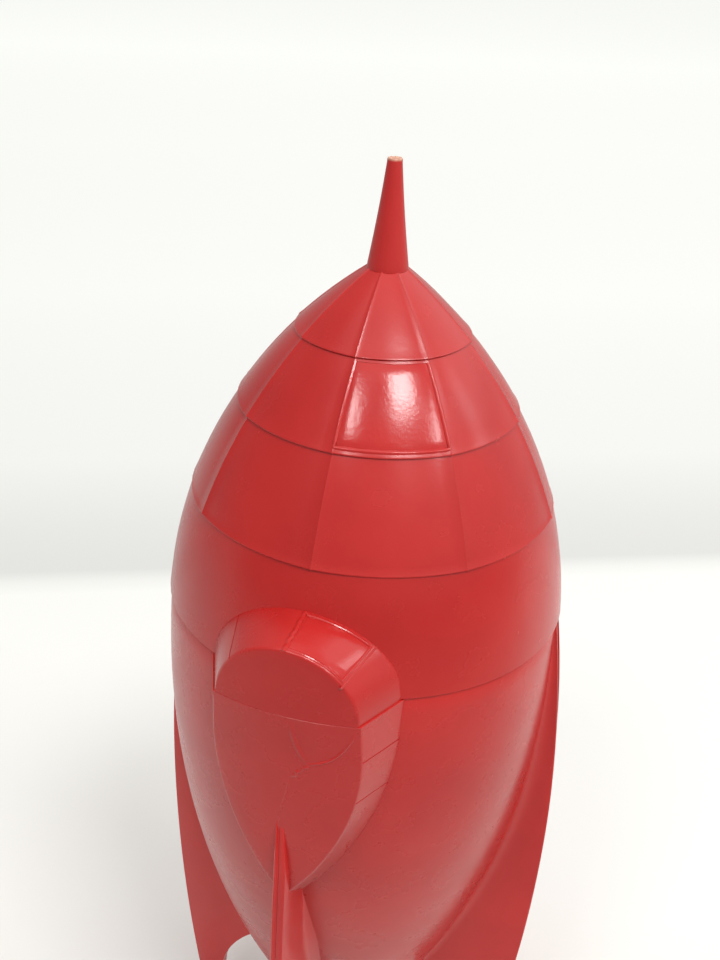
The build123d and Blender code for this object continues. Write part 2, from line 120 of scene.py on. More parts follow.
def new_material(name):
    """A material, with its node tree, its shader and its piece's own coordinates."""
    made = bpy.data.materials.new(name)
    made.use_nodes = True
    place = node(made.node_tree, "ShaderNodeTexCoord").outputs["Object"]
    return made, made.node_tree, made.node_tree.nodes["Principled BSDF"], place


clear_selection()
bpy.ops.mesh.primitive_plane_add(size=table_size)
table = bpy.context.active_object
table.name = "table"
table.rotation_euler.z = table_turn
table_white, tree, shader, place = new_material("table_white")
shader.inputs["Roughness"].default_value = 0.6
split = node(tree, "ShaderNodeSeparateXYZ")
tree.links.new(place, split.inputs[0])
depth = node(tree, "ShaderNodeMapRange", From_Min=table_near, From_Max=table_far)
tree.links.new(split.outputs["Y"], depth.inputs["Value"])
# This colour carries the painted shade toward the camera.
tint = ramp(tree, depth.outputs["Result"], table_tones_and_painted_shade)
tree.links.new(tint, shader.inputs["Base Color"])
tree.links.new(tint, shader.inputs["Emission Color"])
path = node(tree, "ShaderNodeLightPath")
# Painted light: the wall part of the sheet glows to the camera alone.
painted_glow = ramp(tree, depth.outputs["Result"], [(stop, (glow, glow, glow)) for stop, glow in wall_glow])
camera_painted_glow = node(tree, "ShaderNodeMath", operation="MULTIPLY")
tree.links.new(path.outputs["Is Camera Ray"], camera_painted_glow.inputs[0])
tree.links.new(painted_glow, camera_painted_glow.inputs[1])
tree.links.new(camera_painted_glow.outputs[0], shader.inputs["Emission Strength"])
table.data.materials.append(table_white)

world = bpy.data.worlds.new("pale_room")
bpy.context.scene.world = world
world.use_nodes = True
tree = world.node_tree
sky = tree.nodes["Background"]
place = node(tree, "ShaderNodeTexCoord")
facing = node(tree, "ShaderNodeVectorMath", operation="DOT_PRODUCT")
facing.inputs[1].default_value = bright_side
tree.links.new(place.outputs["Generated"], facing.inputs[0])
spread = node(tree, "ShaderNodeMapRange", From_Min=-1)
tree.links.new(facing.outputs["Value"], spread.inputs["Value"])
tree.links.new(ramp(tree, spread.outputs["Result"], room_shades), sky.inputs["Color"])
sky.inputs["Strength"].default_value = 0.85


def window_light(name, place, size, power):
    """A soft rectangular lamp that faces the rocket."""
    clear_selection()
    bpy.ops.object.light_add(type="AREA", location=place)
    lamp = bpy.context.active_object
    lamp.name = name
    lamp.data.shape = "RECTANGLE"
    lamp.data.size, lamp.data.size_y = size
    lamp.data.energy = power
    lamp.rotation_euler = (Vector(place) - lamp_aim).to_track_quat("Z", "Y").to_euler()
    return lamp


window_light("window_main", (0.41, -0.40, 0.99), (0.27, 0.25), 4.7)
window_light("window_left", (-0.14, -0.65, 0.91), (0.24, 0.18), 2.0)
window_light("window_right", (0.78, -0.19, 0.76), (0.30, 0.20), 2.0)
window_light("window_back", (0.81, 0.31, 0.64), (0.12, 0.24), 0.34)
window_light("window_low", (0.55, -0.64, 0.70), (0.14, 0.10), 0.10)
window_light("wall_right", (0.90, 0.90, 1.10), (1.20, 1.00), 2.7)
window_light("ceiling", (-0.20, -0.30, 1.70), (1.40, 1.40), 4.1)
fill_right = window_light("fill_right", (0.55, -0.60, 0.90), (0.60, 0.60), 0.4)
fill_left = window_light("fill_left", (-0.60, -0.95, 0.80), (0.60, 0.60), 0.8)
fill_right.visible_glossy = fill_left.visible_glossy = False

# Nose shell. The rocket's upper half, injection moulded in red plastic: a plain skirt under
# three lapped courses of eight gores, with a thin bead along each meridian and a shallow
# pocket for a window. It sits on the hull's collar, with a key that goes into its slot.
seam_z = round(seam / mm, 2)
nose_seam_radius = round(seam_radius / mm, 2)
nose_arc, nose_arc_below = 79.6, 6.5  # the outside's arc, and its middle below the seam
nose_arc_centre = nose_seam_radius - sqrt(nose_arc**2 - nose_arc_below**2)
rise_skirt, rise_middle, rise_upper, rise_top = 19.2, 34.85, 46.7, 57.0  # where the courses begin
skirt_steps = 8
lap_proud, lap_found = 0.35, 0.05  # how far a lower lip stands out, and what tells it
lip = ((-0.12, 0.0), (0.0, 0.03), (0.06, 0.10), (0.08, 0.20), (0.07, 0.27))
lip_flank, tall_lip_flank = 0.46, 0.65
nose_wall = 2.4
boss_rise, spigot_bore = 50.0, 2.25
gore_count, gore_steps = 8, 9
gore_angle = 360 // gore_count
gore_flat = 0.17  # how much flatter a gore is in its middle
bead_half_width, bead_height = 0.26, 0.10
sill, head = rise_middle + 0.80, rise_upper - 0.50
window_margin = 0.3  # plastic left beside the window's two meridians
pocket_depth = 1.45
key_size, key_middle = (3.4, 4.6, 10.0), (0, -30.1, seam_z + 5.2)
weld, fine_weld = 0.01, 0.005  # places nearer than this count as one
column_turn, bead_turn = 0.5, 0.1  # degrees off a column, and off a meridian's bead
ripple_strength, ripple_height, pit_height = 0.08, 0.0003, 0.00005


def take(piece):
    """Selects one piece alone, out of edit mode, and makes it the active one."""
    clear_selection()
    piece.select_set(True)
    bpy.context.view_layer.objects.active = piece


def join_to(piece, *others):
    """Joins pieces into one object, which keeps the first one's name."""
    take(piece)
    for other in others:
        other.select_set(True)
    bpy.ops.object.join()


def chain(name, points):
    """Draws a line through points, in millimetres, and leaves it selected in edit mode."""
    clear_selection()
    bpy.ops.mesh.primitive_plane_add(size=mm)
    piece = bpy.context.active_object
    piece.name = name
    bpy.ops.object.mode_set(mode="EDIT")
    bpy.ops.mesh.select_mode(type="VERT")
    bpy.ops.mesh.merge(type="CENTER")
    spots = [Vector(point) * mm for point in points]
    bpy.ops.transform.translate(value=spots[0])
    for before, after in zip(spots, spots[1:]):
        bpy.ops.mesh.extrude_region_move(TRANSFORM_OT_translate={"value": after - before})
    bpy.ops.mesh.select_all(action="SELECT")
    return piece


def spin_round(steps, angle, dupli=False):
    """Spins what is selected about the rocket's axis."""
    bpy.ops.mesh.spin(steps=steps, dupli=dupli, angle=angle, center=(0, 0, 0), axis=(0, 0, 1))


def pick(piece, test, mode="VERT"):
    """Selects the vertices or faces whose middle, in millimetres, passes a test."""
    bpy.ops.mesh.select_mode(type=mode)
    bpy.ops.mesh.select_all(action="DESELECT")
    grid = bmesh.from_edit_mesh(piece.data)
    for part in (grid.verts if mode == "VERT" else grid.faces):
        spot = part.co if mode == "VERT" else part.calc_center_median()
        if test(spot / mm):
            part.select_set(True)
    grid.select_flush_mode()
    bmesh.update_edit_mesh(piece.data)


def settle(piece, material, body, node_name, smooth=32):
    """Finishes a piece: normals outward, smooth up to an angle, its material, and bound."""
    take(piece)
    bpy.ops.object.transform_apply(location=True, rotation=True, scale=True)
    bpy.ops.object.mode_set(mode="EDIT")
    bpy.ops.mesh.select_all(action="SELECT")
    bpy.ops.mesh.normals_make_consistent(inside=False)
    bpy.ops.object.mode_set(mode="OBJECT")
    bpy.ops.object.shade_smooth_by_angle(angle=radians(smooth))
    piece.data.materials.clear()
    piece.data.materials.append(material)
    piece.data.name = piece.name
    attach(piece, body)
    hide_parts(node_name)


def noise(tree, place, scale, detail):
    """A cloudy pattern that stays with the piece."""
    cloud = node(tree, "ShaderNodeTexNoise", Scale=scale, Detail=detail)
    tree.links.new(place, cloud.inputs["Vector"])
    return cloud.outputs["Fac"]


def cloud_colour(tree, shader, pattern, deep, bright):
    """Lets a pattern shift the shader's colour."""
    tree.links.new(ramp(tree, pattern, ((0.3, deep), (0.7, bright))), shader.inputs["Base Color"])


def cloud_gloss(tree, shader, pattern, low, high):
    """Lets a pattern shift the shader's roughness."""
    worn = node(tree, "ShaderNodeMapRange", To_Min=low, To_Max=high)
    tree.links.new(pattern, worn.inputs["Value"])
    tree.links.new(worn.outputs["Result"], shader.inputs["Roughness"])


def moulded_plastic(name, deep, bright, rough, pits):
    """Red plastic, a little uneven in colour, gloss and level, with a faintly pitted skin."""
    made, tree, shader, place = new_material(name)
    shader.inputs["IOR"].default_value = 1.49
    cloud_colour(tree, shader, noise(tree, place, 45.0, 4.0), deep, bright)
    cloud_gloss(tree, shader, noise(tree, place, 160.0, 5.0), rough - 0.05, rough + 0.07)
    ripple = node(tree, "ShaderNodeBump", Strength=ripple_strength, Distance=ripple_height)
    tree.links.new(noise(tree, place, 70.0, 1.0), ripple.inputs["Height"])
    skin = node(tree, "ShaderNodeBump", Strength=pits, Distance=pit_height)
    tree.links.new(noise(tree, place, 1500.0, 3.0), skin.inputs["Height"])
    tree.links.new(ripple.outputs["Normal"], skin.inputs["Normal"])
    tree.links.new(skin.outputs["Normal"], shader.inputs["Normal"])
    return made


def nose_radius(rise, depth=0.0):
    """Radius of the nose at a height above the seam, on a skin under the outside."""
    return nose_arc_centre + sqrt((nose_arc - depth)**2 - (rise + nose_arc_below)**2)


def lapped_radius(rise, low, high):
    """Radius of a lapped course between its lower lip and the lap above."""
    return nose_radius(rise) + lap_proud * (high - rise) / (high - low)


def course(low, high, flank, rises):
    """Profile of one lapped course, from its raised and rounded lower lip to the lap above."""
    edge = [(nose_radius(low + up) + lap_proud + out, low + up) for out, up in (*lip, (0.0, flank))]
    return edge + [(lapped_radius(rise, low, high), rise) for rise in rises] + [(nose_radius(high), high)]


outside = [(nose_radius(0) - 0.45, 0.0), (nose_radius(0) - 0.14, 0.06), (nose_radius(0), 0.22),
           (nose_radius(0) - 0.03, 0.60)]
skirt_rises = [rise_skirt * step / skirt_steps for step in range(1, skirt_steps + 1)]
outside += [(nose_radius(rise), rise) for rise in skirt_rises]
outside += course(rise_skirt, rise_middle, lip_flank, (20.6, 22.4, 24.5, 27.0, 29.5, 32.0, 34.2))
outside += course(rise_middle, rise_upper, tall_lip_flank, (sill, 37.0, 38.5, 40.0, 42.0, 44.0, head))
outside += course(rise_upper, rise_top, tall_lip_flank, (47.8, 49.0, 50.4, 52.0, 53.6, 55.2, 56.4))
inside = [(spigot_bore, rise_top), (spigot_bore, boss_rise)]
inside += [(nose_radius(rise, nose_wall), rise)
           for rise in (boss_rise, 44.0, 37.0, 30.0, 22.0, 14.0, 6.0, 0.0)]
profile = outside + inside + outside[:1]
nose_moulding = chain("nose_moulding", [(radius, 0, seam_z + rise) for radius, rise in profile])
bpy.ops.mesh.remove_doubles(threshold=weld * mm)


def turn_of(spot):
    """Direction of a place round the rocket's axis, in degrees."""
    return degrees(atan2(spot.y, spot.x))


def off_meridian(spot):
    """Angle between a place and the nearest meridian."""
    return abs((turn_of(spot) + gore_angle / 2) % gore_angle - gore_angle / 2)


def on_courses(spot):
    """Whether a place is on the gores' outside, above the skirt."""
    rise, radius = spot.z - seam_z, hypot(spot.x, spot.y)
    above = rise > rise_skirt + weld or radius > nose_radius(rise_skirt) + lap_found
    return above and rise > rise_skirt - weld and radius > nose_radius(rise) - lap_proud


def flatness(share):
    """How far inside the full round a gore lies, at a share of the way across it."""
    return gore_flat * (1 - (2 * share - 1)**2)


def spin_gore(piece, first_turn, flattened):
    """Spins a column of vertices through one gore, and flattens what the test says of it."""
    bpy.ops.mesh.select_all(action="SELECT")
    for column in range(1, gore_steps + 1):
        turn = first_turn + gore_angle * column / gore_steps
        spin_round(1, radians(-gore_angle / gore_steps))
        pick(piece, lambda spot: abs(turn_of(spot) - turn) < column_turn and flattened(spot))
        inward = flatness((column - 1) / gore_steps) - flatness(column / gore_steps)
        outward = Vector((cos(radians(turn)), sin(radians(turn)), 0))
        bpy.ops.transform.translate(value=outward * inward * mm)
        pick(piece, lambda spot: abs(turn_of(spot) - turn) < column_turn)
    bpy.ops.mesh.select_all(action="SELECT")


spin_gore(nose_moulding, 0, on_courses)
spin_round(gore_count - 1, radians(gore_angle - 360), dupli=True)
bpy.ops.mesh.select_all(action="SELECT")
bpy.ops.mesh.remove_doubles(threshold=weld * mm)
bpy.ops.mesh.normals_make_consistent(inside=False)
pick(nose_moulding, lambda spot: off_meridian(spot) < bead_turn and on_courses(spot))
bpy.ops.mesh.bevel(offset=bead_half_width * mm, segments=2, profile=1.0, affect="EDGES",
                   clamp_overlap=False)
pick(nose_moulding, lambda spot: off_meridian(spot) < bead_turn / 2 and on_courses(spot))
bpy.ops.transform.shrink_fatten(value=bead_height * mm)
bpy.ops.mesh.select_all(action="SELECT")
bpy.ops.mesh.fill_holes(sides=0)

far_side = radians(gore_angle)
window_sides = (((1, 0, 0), 1), ((cos(far_side), sin(far_side), 0), -1))


def in_window(spot, margin=window_margin):
    """Whether a place is on the window's panel of the gore right of the pod's middle."""
    inside_sides = all(side * Vector(normal).dot(spot) > margin for normal, side in window_sides)
    return inside_sides and sill < spot.z - seam_z < head and on_courses(spot)


for normal, side in window_sides:
    pick(nose_moulding, lambda spot: in_window(spot, 0.0), "FACE")
    bpy.ops.mesh.bisect(plane_co=Vector(normal) * side * window_margin * mm, plane_no=normal)
pick(nose_moulding, in_window, "FACE")
bpy.ops.mesh.extrude_region_shrink_fatten(TRANSFORM_OT_shrink_fatten={"value": -pocket_depth * mm})
clear_selection()
bpy.ops.mesh.primitive_cube_add(size=mm, location=Vector(key_middle) * mm, scale=key_size)
join_to(nose_moulding, bpy.context.active_object)
red_shell = moulded_plastic("red_shell", (0.375, 0.010, 0.009), (0.455, 0.016, 0.013), 0.25, 0.30)
settle(nose_moulding, red_shell, "nose", "nose_shell", smooth=28)

# Nose window. A glossy pane of the same red plastic, moulded apart and bonded into the pocket
# just under the skin, with a fine raised bead round it.
pane_recess, pane_gap = 0.03, 0.02
pane_thickness, pane_edge = 1.2, 0.05
pane_steps, border_steps = 8, 12
front_turn = -90
border_lean = 0.6  # how far the border's outward direction looks up
lowest, highest = sill + pane_gap, head - pane_gap
pane_rises = [lowest + (highest - lowest) * step / pane_steps for step in range(pane_steps + 1)]
nose_pane = chain("nose_pane", [(0, -(lapped_radius(rise, rise_middle, rise_upper) - pane_recess),
                                 seam_z + rise) for rise in pane_rises])
spin_gore(nose_pane, front_turn, lambda spot: True)
for normal, side in window_sides:
    bpy.ops.mesh.select_all(action="SELECT")
    bpy.ops.mesh.bisect(plane_co=Vector(normal) * side * (window_margin + pane_gap) * mm,
                        plane_no=Vector(normal) * side, clear_inner=True)


def apply_modifier(piece, kind, **settings):
    """Adds a modifier to a piece and applies it."""
    take(piece)
    bpy.ops.object.modifier_add(type=kind)
    added = piece.modifiers[-1]
    for key, value in settings.items():
        setattr(added, key, value)
    bpy.ops.object.modifier_apply(modifier=added.name)


def face_out(piece):
    """Turns every normal of a loose sheet away from the rocket's axis."""
    take(piece)
    bpy.ops.object.mode_set(mode="EDIT")
    bpy.ops.mesh.select_all(action="SELECT")
    bpy.ops.mesh.normals_make_consistent(inside=False)
    grid = bmesh.from_edit_mesh(piece.data)
    first = next(iter(grid.faces))
    if first.normal.dot(first.calc_center_median() * Vector((1, 1, 0))) < 0:
        bpy.ops.mesh.flip_normals()


def thicken_pane(piece):
    """Makes a sheet a pane, thickened toward the axis and eased along its edges."""
    apply_modifier(piece, "SOLIDIFY", thickness=pane_thickness * mm, offset=-1)
    apply_modifier(piece, "BEVEL", width=pane_edge * mm, segments=2, limit_method="ANGLE",
                   angle_limit=radians(50))


face_out(nose_pane)
thicken_pane(nose_pane)


def loft(name, rows):
    """Skins rows of places: a chain is extruded row by row, and each row is put in place."""
    piece = chain(name, rows[0])
    before = rows[0]
    for row in rows[1:]:
        bpy.ops.mesh.extrude_region_move(TRANSFORM_OT_translate={"value": (0, 0, 0)})
        for vertex in [v for v in bmesh.from_edit_mesh(piece.data).verts if v.select]:
            index = min(range(len(before)), key=lambda place: (vertex.co / mm - before[place]).length)
            vertex.co = row[index] * mm
        bmesh.update_edit_mesh(piece.data)
        before = row
    bpy.ops.mesh.select_all(action="SELECT")
    return piece


# A ridge's section: across it in half widths, then up in heights, or down in millimetres.
crest_wobble, wobble_gain, end_height = 0.6, 8, 0.2
ridge_section = ((-1.0, -0.12), (-0.85, 0.14), (-0.22, 0.88), (0.0, 1.0), (0.22, 0.88), (0.85, 0.14),
                 (1.0, -0.12), (0.0, -0.5), (-1.0, -0.12))


def ridge(name, path, outward, half_width, height, ragged, seed, fade=0):
    """A thin raised line along a path, with an uneven crest, that may die away at its ends."""
    chance = random.Random(seed)
    last = len(path) - 1
    along = [(path[min(at + 1, last)] - path[max(at - 1, 0)]).normalized() for at in range(last + 1)]
    across = [way.cross(out).normalized() for way, out in zip(along, outward)]
    wander = [chance.uniform(-ragged, ragged) for _ in path]
    wobble = min(1, ragged * wobble_gain)
    lift = [height * (1 + chance.uniform(-crest_wobble, crest_wobble) * wobble) for _ in path]
    if fade:
        lift = [rise * min(1, (at + end_height) / fade, (last - at + end_height) / fade)
                for at, rise in enumerate(lift)]
    rows = []
    for side, level in ridge_section:
        rows.append([spot + way * (side * half_width + shift) + out * (level * rise if level > 0 else level)
                     for spot, way, out, shift, rise in zip(path, across, outward, wander, lift)])
    made = loft(name, rows)
    bpy.ops.mesh.remove_doubles(threshold=fine_weld * mm)
    bpy.ops.mesh.fill_holes(sides=0)
    return made


def window_edge(across, rise):
    """A place round the nose window: from 0 at its front side to 1 at its far side."""
    turn = radians(front_turn + gore_angle * across)
    radius = lapped_radius(rise, rise_middle, rise_upper)
    spot = Vector((radius * cos(turn), radius * sin(turn), seam_z + rise))
    return spot - Vector((cos(turn), sin(turn), 0)) * flatness(across)


border = [window_edge(0.0, head + (sill - head) * step / border_steps) for step in range(border_steps)]
border += [window_edge(step / border_steps, sill) for step in range(border_steps)]
border += [window_edge(1.0, sill + (head - sill) * step / border_steps) for step in range(border_steps + 1)]
border_out = [Vector((spot.x, spot.y, hypot(spot.x, spot.y) * border_lean)).normalized() for spot in border]
join_to(nose_pane, ridge("window_bead", border, border_out, half_width=0.38, height=0.17, ragged=0.0, seed=2))
red_pane = moulded_plastic("red_pane", (0.39, 0.012, 0.011), (0.46, 0.018, 0.015), 0.17, 0.45)
settle(nose_pane, red_pane, "nose", "nose_window", smooth=35)

# Spire. A solid cone of the same red plastic, moulded apart, with a spigot that goes through
# the nose's boss. Its tip was snapped off the sprue, so it ends in a pale torn rim.
spire_length, spire_foot, spire_taper, spire_waist = 16.2, 3.2, 2.1, 0.12
spire_sides = 48
spire_base, spire_tip = rise_top, rise_top + spire_length
tear_depth, tear_offset = 0.3, 0.07  # how far down the rim is torn, and how roughly
pale_from, pale_to = 0.45, 0.12  # below the tip, where the torn plastic goes pale
pale_red = (0.62, 0.34, 0.24, 1)


def turned(name, line, sides):
    """Spins a line of radii and heights, in millimetres, into a round piece in edit mode."""
    piece = chain(name, [(radius, 0, height) for radius, height in line])
    bpy.ops.mesh.remove_doubles(threshold=fine_weld * mm)
    spin_round(sides, 2 * pi)
    bpy.ops.mesh.select_all(action="SELECT")
    bpy.ops.mesh.remove_doubles(threshold=weld * mm)
    return piece


spire_line = [(0, boss_rise - 2.6), (2.0, boss_rise - 2.6), (2.2, boss_rise - 2.2), (2.2, spire_base - 0.7),
              (3.10, spire_base - 0.62), (3.24, spire_base - 0.45), (spire_foot, spire_base)]
spire_line += [(spire_foot - spire_taper * share - spire_waist * sin(pi * share),
                spire_base + spire_length * share)
               for share in (0.05, 0.15, 0.3, 0.45, 0.6, 0.75, 0.88, 0.96, 0.985)]
spire_line += [(1.1, spire_tip - 0.06), (0.85, spire_tip - 0.04), (0.45, spire_tip - 0.16),
               (0, spire_tip - 0.12)]
spire_cone = turned("spire_cone", [(radius, seam_z + rise) for radius, rise in spire_line], spire_sides)
pick(spire_cone, lambda spot: spot.z > seam_z + spire_tip - tear_depth)
bpy.ops.transform.vertex_random(offset=tear_offset * mm, uniform=1.0, seed=7)
for vertex in bmesh.from_edit_mesh(spire_cone.data).verts:
    vertex.co.z = min(vertex.co.z, (seam_z + spire_tip) * mm)
torn_red = moulded_plastic("torn_red", (0.39, 0.011, 0.010), (0.465, 0.015, 0.013), 0.36, 0.2)
tree = torn_red.node_tree
shader = tree.nodes["Principled BSDF"]
red_link = shader.inputs["Base Color"].links[0].from_socket
place = node(tree, "ShaderNodeTexCoord").outputs["Object"]
height = node(tree, "ShaderNodeSeparateXYZ")
tree.links.new(place, height.inputs[0])
torn = node(tree, "ShaderNodeMapRange", From_Min=(seam_z + spire_tip - pale_from) * mm,
            From_Max=(seam_z + spire_tip - pale_to) * mm)
tree.links.new(height.outputs["Z"], torn.inputs["Value"])
pale = node(tree, "ShaderNodeMix", data_type="RGBA")
pale.inputs["B"].default_value = pale_red
tree.links.new(torn.outputs["Result"], pale.inputs["Factor"])
tree.links.new(red_link, pale.inputs["A"])
tree.links.new(pale.outputs["Result"], shader.inputs["Base Color"])
settle(spire_cone, torn_red, "nose", "spire")

# Spire washer. A stamped steel ring pushed onto the spire's spigot under the boss, inside the
# nose, where it holds the spire. It keeps its own shape, and takes a scratched steel here.
washer_steel, tree, shader, place = new_material("washer_steel")
shader.inputs["Metallic"].default_value = 1.0
scratches = noise(tree, place, 900.0, 4.0)
cloud_colour(tree, shader, scratches, (0.42, 0.42, 0.43), (0.60, 0.60, 0.61))
cloud_gloss(tree, shader, scratches, 0.25, 0.45)


def dress(node_name, material):
    """Gives its material to a piece that keeps the frame's own shape."""
    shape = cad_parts[node_name].data
    shape.materials.clear()
    shape.materials.append(material)


dress("spire_washer", washer_steel)

# Pod hood. The upper half of the bevelled bay on the rocket's front, moulded apart in red and
# pegged to the nose. Joint lines cross its bevels, its right bevel has a pocket for a pane,
# and a ragged ridge of flash stands along its middle.
face_radius = 40.55
rim_level, edge_level = 31.3, 38.0  # distances in front of the axis, for the next sizes
hood_half, hood_height = (14.8, 11.75), (13.0, 12.0)
hood_columns = 44  # round the hood's bevel; the crown is at the 22nd
panel_angle = 51.0
frame_width, flash_margin = 0.6, 0.3  # plastic left round the pane's pocket
root_depth = 0.8  # how far the pod goes on into the skin
groove_width, groove_depth = 0.22, 0.10
edge_round, seam_round = 0.42, 0.07
face_shares, round_shares, bevel_shares = (0.3, 0.6, 0.85), (0, 0.25, 0.5, 0.75, 1), (0.35, 0.65)
near_level, far_level, halvings = rim_level - 12.0, edge_level + 6.0, 40
touch, stray = 0.02, 0.05  # how near a line is too near, how far off a bevel is off
flash_steps, joint_steps, pane_border_steps, nudge = 20, 8, 14, 0.01
border_start, ray_between = 22.6, (24.0, 40.0)  # in columns


def pod_size(level, at_rim, at_edge):
    """A measure of the pod's outline at a distance from the axis, by its straight draft."""
    return at_rim + (at_edge - at_rim) * (level - rim_level) / (edge_level - rim_level)


def meet(bevel_at, share, radius_at):
    """Slides a point outward along a bevel until it lies on a skin given as radius by rise."""
    near, far = near_level, far_level
    for _ in range(halvings):
        level = (near + far) / 2
        spot = bevel_at(share, level)
        if hypot(spot.x, spot.y) < radius_at(spot.z - seam_z):
            near = level
        else:
            far = level
    return spot


def toward(start, end, distance):
    """A place on the way from one place to another, at a distance."""
    return start + (end - start).normalized() * min(distance, (end - start).length)


def pod_rows(bevel_at, skin_at, face_at, columns):
    """Rows across one half of the pod, from its seam over its face and bevels to the skin."""
    edge = [meet(bevel_at, column / columns, face_at) for column in range(columns + 1)]
    rim = [meet(bevel_at, column / columns, skin_at) for column in range(columns + 1)]

    def on_face(spot):
        """Moves a place straight in or out onto the face."""
        radius = face_at(spot.z - seam_z)
        return Vector((spot.x, -sqrt(radius**2 - spot.x**2), spot.z))

    seam_line = [on_face(Vector((edge[0].x + (edge[-1].x - edge[0].x) * column / columns, 0, seam_z)))
                 for column in range(columns + 1)]
    rows = [[foot + Vector((0, seam_round, 0)) for foot in seam_line]]
    rows.append([toward(foot, spot, seam_round) for foot, spot in zip(seam_line, edge)])
    rows += [[on_face(foot.lerp(spot, share)) for foot, spot in zip(seam_line, edge)]
             for share in face_shares]
    inner = [toward(spot, foot, edge_round) for foot, spot in zip(seam_line, edge)]
    outer = [toward(spot, root, edge_round) for spot, root in zip(edge, rim)]
    rows += [[a.lerp(c, turn).lerp(c.lerp(b, turn), turn) for a, b, c in zip(inner, outer, edge)]
             for turn in round_shares]
    rows.append([toward(spot, root, frame_width) for spot, root in zip(edge, rim)])
    rows += [[spot.lerp(root, share) for spot, root in zip(edge, rim)] for share in bevel_shares]
    rows.append([toward(root, spot, frame_width) for spot, root in zip(edge, rim)])
    return rows + [rim, [root + Vector((0, root_depth, 0)) for root in rim]]


def pod_half(name, rows):
    """Skins one half of the pod, and closes it behind and at the seam."""
    piece = loft(name, rows)
    bpy.ops.mesh.remove_doubles(threshold=fine_weld * mm)
    pick(piece, lambda spot: min((spot - place).length for place in rows[-1]) < weld)
    bpy.ops.mesh.edge_face_add()
    bpy.ops.mesh.select_all(action="SELECT")
    bpy.ops.mesh.fill_holes(sides=0)
    bpy.ops.mesh.normals_make_consistent(inside=False)
    return piece


def hood_bevel(share, level):
    """A place on the hood's bevel: a half oval, from the left round the crown to the right."""
    angle = pi * share
    return Vector((-pod_size(level, *hood_half) * cos(angle), -level,
                   seam_z + pod_size(level, *hood_height) * sin(angle)))


def upright_face(rise):
    """Radius of the hood's face, which is the same at every height."""
    return face_radius


def nose_skin(rise):
    """Radius of the nose that the hood stands on."""
    return nose_radius(max(rise, 0))


def bevel_ends(share):
    """Where the hood's bevel begins at its face, and ends on the nose."""
    return meet(hood_bevel, share, upright_face), meet(hood_bevel, share, nose_skin)


def hood_share(spot):
    """Which share of the way round the hood's bevel a place is."""
    wide, high = pod_size(-spot.y, *hood_half), pod_size(-spot.y, *hood_height)
    return atan2((spot.z - seam_z) / high, -spot.x / wide) / pi


def on_hood_bevel(spot, margin=0.0):
    """Whether a place is on the hood's bevel, with room to its edge and its rim."""
    if spot.z < seam_z + weld or hypot(spot.x, spot.y) < nose_radius(spot.z - seam_z) + touch:
        return False
    edge, rim = bevel_ends(hood_share(spot))
    to_edge, to_rim = (spot - edge).length, (spot - rim).length
    return to_edge > margin + touch and to_rim > margin and to_edge + to_rim < (rim - edge).length + stray


def groove(piece, on_bevel, middle, normal):
    """Cuts a joint line across a bevel."""
    for side in (-1, 1):
        pick(piece, on_bevel, "FACE")
        bpy.ops.mesh.bisect(plane_co=(middle + normal * side * groove_width / 2) * mm, plane_no=normal)
    pick(piece, lambda spot: on_bevel(spot) and abs(normal.dot(spot - middle)) < groove_width / 2, "FACE")
    bpy.ops.mesh.extrude_region_shrink_fatten(TRANSFORM_OT_shrink_fatten={"value": -groove_depth * mm})


hood_shell = pod_half("hood_shell", pod_rows(hood_bevel, nose_skin, upright_face, hood_columns))
hood_middle = Vector((0, 0, seam_z))
left_ray = Vector((cos(radians(panel_angle)), 0, sin(radians(panel_angle))))
right_ray = Vector((-cos(radians(panel_angle)), 0, sin(radians(panel_angle))))
middle_ray = Vector((1, 0, 0))
pane_sides = ((middle_ray, flash_margin), (right_ray, frame_width))
groove(hood_shell, lambda spot: on_hood_bevel(spot) and spot.x < 0, hood_middle, left_ray)


def in_hood_pane(spot, left=flash_margin, right=frame_width):
    """Whether a place is on the panel right of the middle, with margins to its two joints."""
    inside_joints = spot.x > left and right_ray.dot(spot - hood_middle) > right
    return inside_joints and on_hood_bevel(spot, frame_width)


for normal, margin in pane_sides:
    pick(hood_shell, lambda spot: in_hood_pane(spot, 0, 0), "FACE")
    bpy.ops.mesh.bisect(plane_co=(hood_middle + normal * margin) * mm, plane_no=normal)
pick(hood_shell, in_hood_pane, "FACE")
bpy.ops.mesh.extrude_region_shrink_fatten(TRANSFORM_OT_shrink_fatten={"value": -pocket_depth * mm})
crown_edge, crown_rim = bevel_ends(0.5)
crown_out = Vector((0, -0.25, 1)).normalized()
flash_path = [crown_edge.lerp(crown_rim, step / flash_steps) for step in range(flash_steps + 1)]
hood_flash = ridge("hood_flash", flash_path, [crown_out] * len(flash_path), half_width=0.42, height=0.16,
                   ragged=0.11, seed=3)


def along_bevel(column, from_rim):
    """A place on the pane's border, near the hood bevel's rim or near its face's edge."""
    edge, rim = bevel_ends(column / hood_columns)
    return toward(rim, edge, frame_width) if from_rim else toward(edge, rim, frame_width)


def to_ray(from_rim, margin):
    """Places along a border of the pane, from the hood's middle to near its right joint."""
    near, far = ray_between
    for _ in range(halvings):
        column = (near + far) / 2
        if right_ray.dot(along_bevel(column, from_rim) - hood_middle) > margin:
            near = column
        else:
            far = column
    return [along_bevel(border_start + (near - border_start) * step / pane_border_steps, from_rim)
            for step in range(pane_border_steps + 1)]


def off_bevel(spot):
    """Direction out of the hood's bevel, from two places beside this one and two above it."""
    share, level = hood_share(spot), -spot.y
    across = hood_bevel(share + nudge, level) - hood_bevel(share - nudge, level)
    down = hood_bevel(share, level + 1) - hood_bevel(share, level - 1)
    out = across.cross(down).normalized()
    return out if out.z > 0 else -out


